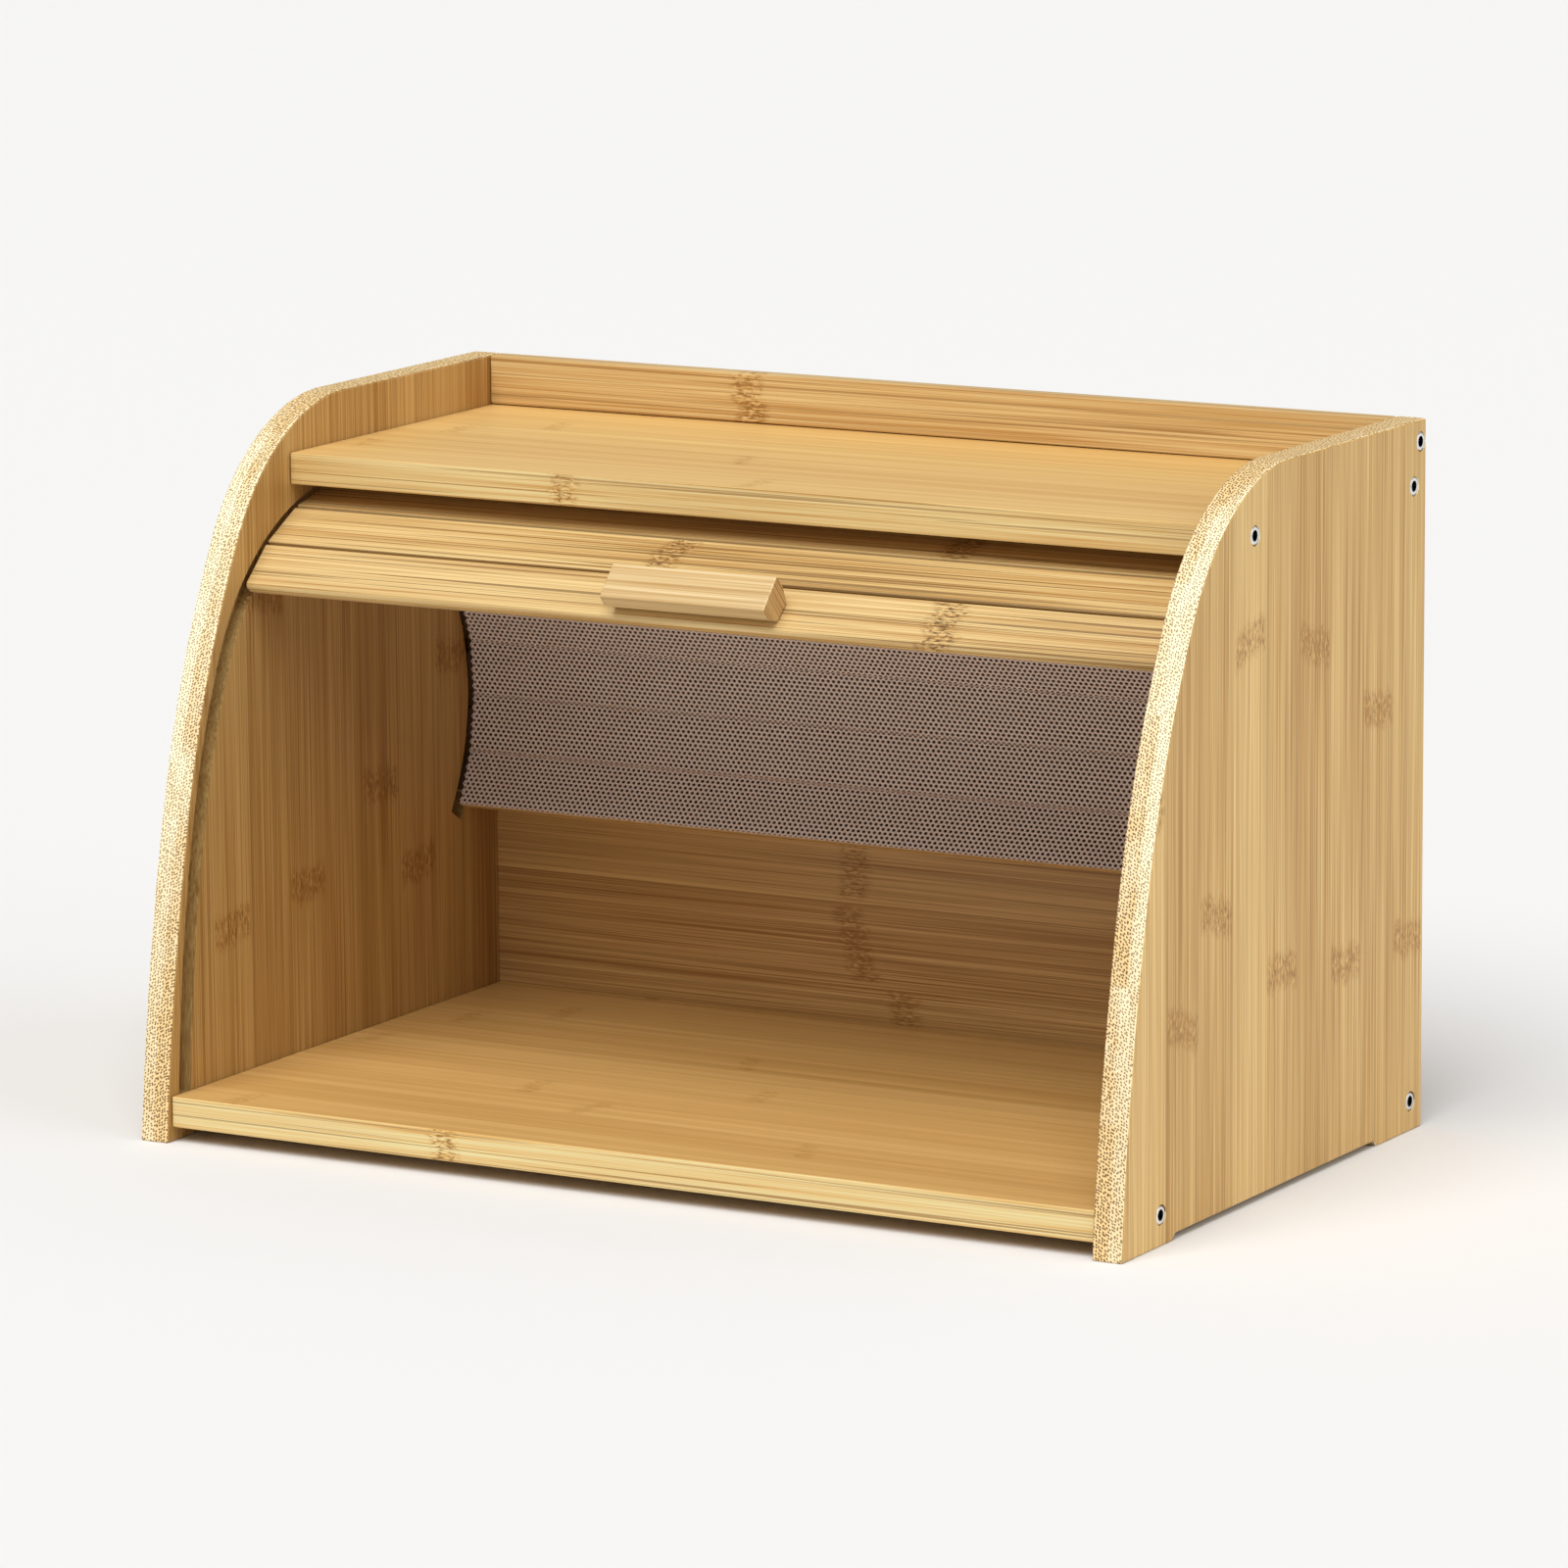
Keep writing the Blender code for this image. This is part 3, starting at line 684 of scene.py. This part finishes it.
def net_tree():
    """Grid with every second row shifted, turned into six-sided cells with a hole in each."""
    tree = bpy.data.node_groups.new("net_cells", "GeometryNodeTree")
    face = tree.interface
    for label, value in (("Length", 0.37), ("Width", 0.02), ("Pitch X", NET_PITCH_X),
                         ("Pitch U", NET_PITCH_U), ("Hole", NET_HOLE)):
        socket = face.new_socket(label, in_out="INPUT", socket_type="NodeSocketFloat")
        socket.default_value = value
    face.new_socket("Material", in_out="INPUT", socket_type="NodeSocketMaterial")
    face.new_socket("Geometry", in_out="OUTPUT", socket_type="NodeSocketGeometry")
    new, link = tree.nodes.new, tree.links.new
    given = new("NodeGroupInput").outputs

    def number(operation, a, b=0.0):
        node = new("ShaderNodeMath")
        node.operation = operation
        for socket, value in zip(node.inputs, (a, b)):
            if isinstance(value, bpy.types.NodeSocket):
                link(value, socket)
            else:
                socket.default_value = value
        return node.outputs[0]

    columns = number("ADD", number("ROUND", number("DIVIDE", given["Length"], given["Pitch X"])), 1.0)
    rows = number("ADD", number("ROUND", number("DIVIDE", given["Width"], given["Pitch U"])), 1.0)
    grid = new("GeometryNodeMeshGrid")
    link(given["Length"], grid.inputs["Size X"])
    link(given["Width"], grid.inputs["Size Y"])
    link(columns, grid.inputs["Vertices X"])
    link(rows, grid.inputs["Vertices Y"])
    from_edge = number("ADD", point_axis(tree, 1), number("MULTIPLY", given["Width"], 0.5))
    row = number("ROUND", number("DIVIDE", from_edge, given["Pitch U"]))
    odd = number("MODULO", row, 2.0)
    slide = new("ShaderNodeCombineXYZ")
    half_pitch = number("MULTIPLY", given["Pitch X"], 0.5)
    link(number("MULTIPLY", number("SUBTRACT", odd, 0.5), half_pitch), slide.inputs[0])
    shifted = new("GeometryNodeSetPosition")
    link(grid.outputs["Mesh"], shifted.inputs["Geometry"])
    link(slide.outputs[0], shifted.inputs["Offset"])
    thirds = new("GeometryNodeTriangulate")
    thirds.quad_method = "SHORTEST_DIAGONAL"
    link(shifted.outputs["Geometry"], thirds.inputs["Mesh"])
    dual = new("GeometryNodeDualMesh")
    link(thirds.outputs["Mesh"], dual.inputs["Mesh"])
    dual.inputs["Keep Boundaries"].default_value = True
    push = new("GeometryNodeExtrudeMesh")
    push.mode = "FACES"
    link(dual.outputs["Dual Mesh"], push.inputs["Mesh"])
    push.inputs["Offset Scale"].default_value = 0.0
    push.inputs["Individual"].default_value = True
    shrink = new("GeometryNodeScaleElements")
    link(push.outputs["Mesh"], shrink.inputs["Geometry"])
    link(push.outputs["Top"], shrink.inputs["Selection"])
    link(given["Hole"], shrink.inputs["Scale"])
    cut = new("GeometryNodeDeleteGeometry")
    cut.domain = "FACE"
    cut.mode = "ONLY_FACE"
    link(shrink.outputs["Geometry"], cut.inputs["Geometry"])
    link(push.outputs["Top"], cut.inputs["Selection"])
    weld = new("GeometryNodeMergeByDistance")
    link(cut.outputs["Geometry"], weld.inputs["Geometry"])
    weld.inputs["Distance"].default_value = WELD
    real = new("GeometryNodeRealizeInstances")
    link(weld.outputs["Geometry"], real.inputs["Geometry"])
    paint = new("GeometryNodeSetMaterial")
    link(real.outputs["Geometry"], paint.inputs["Geometry"])
    link(given["Material"], paint.inputs["Material"])
    out = new("NodeGroupOutput")
    link(paint.outputs["Geometry"], out.inputs["Geometry"])
    return tree


def point_axis(tree, k):
    """One coordinate of each point's position."""
    spot = tree.nodes.new("GeometryNodeInputPosition")
    split = tree.nodes.new("ShaderNodeSeparateXYZ")
    tree.links.new(spot.outputs[0], split.inputs[0])
    return split.outputs[k]


def set_input(modifier, label, value):
    """Sets a modifier's input by the name that its node group shows."""
    for item in modifier.node_group.interface.items_tree:
        if item.item_type == "SOCKET" and item.in_out == "INPUT" and item.name == label:
            modifier[item.identifier] = value


def plain_mesh(obj, name):
    """A new mesh from the object with its modifiers applied."""
    graph = bpy.context.evaluated_depsgraph_get()
    mesh = bpy.data.meshes.new_from_object(obj.evaluated_get(graph))
    mesh.name = name
    return mesh


def net_sheet(material, rows):
    """One flat net strip of so many rows, in X and Y, to be laid on a slat."""
    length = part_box(NETS[0])[1].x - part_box(NETS[0])[0].x
    thick = slat_frame(NETS[0])[3]
    seed = bpy.data.objects.new("net_seed", bpy.data.meshes.new("net_seed"))
    bpy.context.scene.collection.objects.link(seed)
    modifier = seed.modifiers.new("cells", "NODES")
    modifier.node_group = net_tree()
    for label, value in (("Length", length - NET_PITCH_X), ("Width", rows * NET_PITCH_U),
                         ("Pitch X", NET_PITCH_X), ("Pitch U", NET_PITCH_U), ("Hole", NET_HOLE),
                         ("Material", material)):
        set_input(modifier, label, value)
    mesh = plain_mesh(seed, "net_flat")
    bpy.data.objects.remove(seed, do_unlink=True)
    bm = bmesh.new()
    bm.from_mesh(mesh)
    bmesh.ops.remove_doubles(bm, verts=bm.verts, dist=WELD)
    bmesh.ops.recalc_face_normals(bm, faces=bm.faces)
    bmesh.ops.solidify(bm, geom=bm.faces[:], thickness=NET_YARN * thick)
    bmesh.ops.triangulate(bm, faces=bm.faces)
    bmesh.ops.recalc_face_normals(bm, faces=bm.faces)
    low = min(v.co.z for v in bm.verts)
    high = max(v.co.z for v in bm.verts)
    bmesh.ops.translate(bm, verts=bm.verts, vec=(0, 0, -(low + high) / 2))
    bm.to_mesh(mesh)
    bm.free()
    return mesh


NET = net_material("backing_net")
NET_WIDTH = slat_frame(NETS[1])[2]
SHEETS = [net_sheet(NET, round(slat_frame(NETS[0])[2] / NET_PITCH_U)),
          net_sheet(NET, round((NET_WIDTH + NET_EXTRA) / NET_PITCH_U))]
for k, node in enumerate(NETS):
    middle, along, _, _ = slat_frame(node)
    if k == 0:    # the first strip stops short of the curtain's lower edge
        rearward = along if along @ (MIDDLES[1] - MIDDLES[0]) > 0 else -along
        middle = middle + rearward * NET_EXTRA * 0.5
    mesh = SHEETS[min(k, 1)].copy()
    normal = (-along[1], along[0])
    mesh.transform(Matrix((
        (1, 0, 0, 0),
        (0, along[0], normal[0], middle[0]),
        (0, along[1], normal[1], middle[1]),
        (0, 0, 0, 1))))
    piece = bpy.data.objects.new("net_sheet_%02d" % (k + 1), mesh)
    bpy.context.scene.collection.objects.link(piece)
    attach(piece, NODES[node]["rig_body"])
    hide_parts(node)


# ---------------------------------------------------------------- stage, light, camera

FLOOR_HALF = 6
FLOOR_GREY = 0.80
SKY_STRENGTH = 0.30


def stage():
    """A plain pale floor under an even sky."""
    mesh = bpy.data.meshes.new("floor")
    corners = [(x * FLOOR_HALF, y * FLOOR_HALF, 0) for x, y in ((-1, -1), (1, -1), (1, 1), (-1, 1))]
    mesh.from_pydata(corners, [], [(0, 1, 2, 3)])
    floor = bpy.data.objects.new("floor", mesh)
    bpy.context.scene.collection.objects.link(floor)
    mat, _, shader = new_material("pale_floor", 0.9)
    shader.inputs["Base Color"].default_value = (FLOOR_GREY, FLOOR_GREY, FLOOR_GREY, 1)
    mesh.materials.append(mat)
    world = bpy.data.worlds.new("studio")
    bpy.context.scene.world = world
    world.use_nodes = True
    sky = world.node_tree.nodes["Background"]
    sky.inputs["Color"].default_value = (1, 1, 1, 1)
    sky.inputs["Strength"].default_value = SKY_STRENGTH


def soft_sun(name, direction, power, spread, colour=(1, 1, 1)):
    """Large soft light that comes from the given direction; its spread is in degrees."""
    light = bpy.data.lights.new(name, "SUN")
    light.energy = power
    light.angle = math.radians(spread)
    light.color = colour
    obj = bpy.data.objects.new(name, light)
    bpy.context.scene.collection.objects.link(obj)
    obj.location = Vector(direction).normalized() * 3
    obj.rotation_mode = "QUATERNION"
    obj.rotation_quaternion = Vector(direction).to_track_quat("Z", "Y")


def camera():
    """Long lens from the front right, a little above."""
    data = bpy.data.cameras.new("camera")
    data.lens = LENS
    data.sensor_width = 36
    data.clip_end = 50
    obj = bpy.data.objects.new("camera", data)
    bpy.context.scene.collection.objects.link(obj)
    obj.location = CAMERA_AT
    obj.rotation_mode = "QUATERNION"
    yaw, pitch, roll = (math.radians(a) for a in CAMERA_TURN)
    look = Vector((math.sin(yaw) * math.cos(pitch), math.cos(yaw) * math.cos(pitch), -math.sin(pitch)))
    right = look.cross(Vector((0, 0, 1))).normalized()
    up = right.cross(look)
    side = math.cos(roll) * right + math.sin(roll) * up
    top = -math.sin(roll) * right + math.cos(roll) * up
    turn = Matrix((side, top, -look)).transposed()
    obj.rotation_quaternion = turn.to_quaternion()
    bpy.context.scene.camera = obj


LENS = 192.4                              # mm, on a 36 mm sensor
CAMERA_AT = (1.4685, FRONT - 2.4624, 0.6867)
CAMERA_TURN = (-29.605, 10.635, -0.400)   # degrees: turned right, tipped down, rolled

stage()
soft_sun("key_above_front", (0.08, -0.62, 1.0), 2.85, 50, (1, 0.99, 0.97))
soft_sun("fill_right", (1.0, 0.10, 0.45), 0.90, 60)
bpy.context.scene.view_settings.view_transform = "Standard"
camera()
